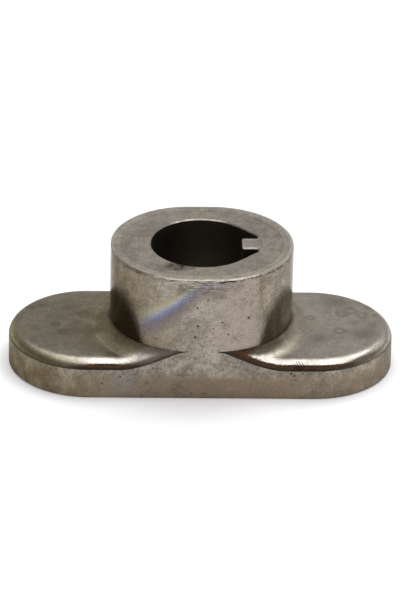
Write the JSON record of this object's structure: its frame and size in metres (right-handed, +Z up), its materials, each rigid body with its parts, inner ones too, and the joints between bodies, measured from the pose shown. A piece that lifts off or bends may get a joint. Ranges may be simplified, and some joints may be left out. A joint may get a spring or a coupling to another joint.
{
  "type": "mower blade adapter",
  "caption": "Obround sintered steel mower blade adapter: plate with rounded top edge, raised boss flush with its long sides, and a through bore with an integral key for a crankshaft.",
  "frame": {"origin": "bore axis at the flat underside, which is the centre of the plate's footprint", "axes": "+X along the plate from the bore axis towards the key, +Y across the plate, +Z up the bore from the underside to the boss top"},
  "size_m": [0.0834, 0.0348, 0.0289],
  "materials": {
    "sintered_steel": "satin, pressed and sintered, lightly tumbled and oiled"
  },
  "bodies": {
    "root": {"blade_adapter": "sintered_steel"}
  },
  "joints": []
}
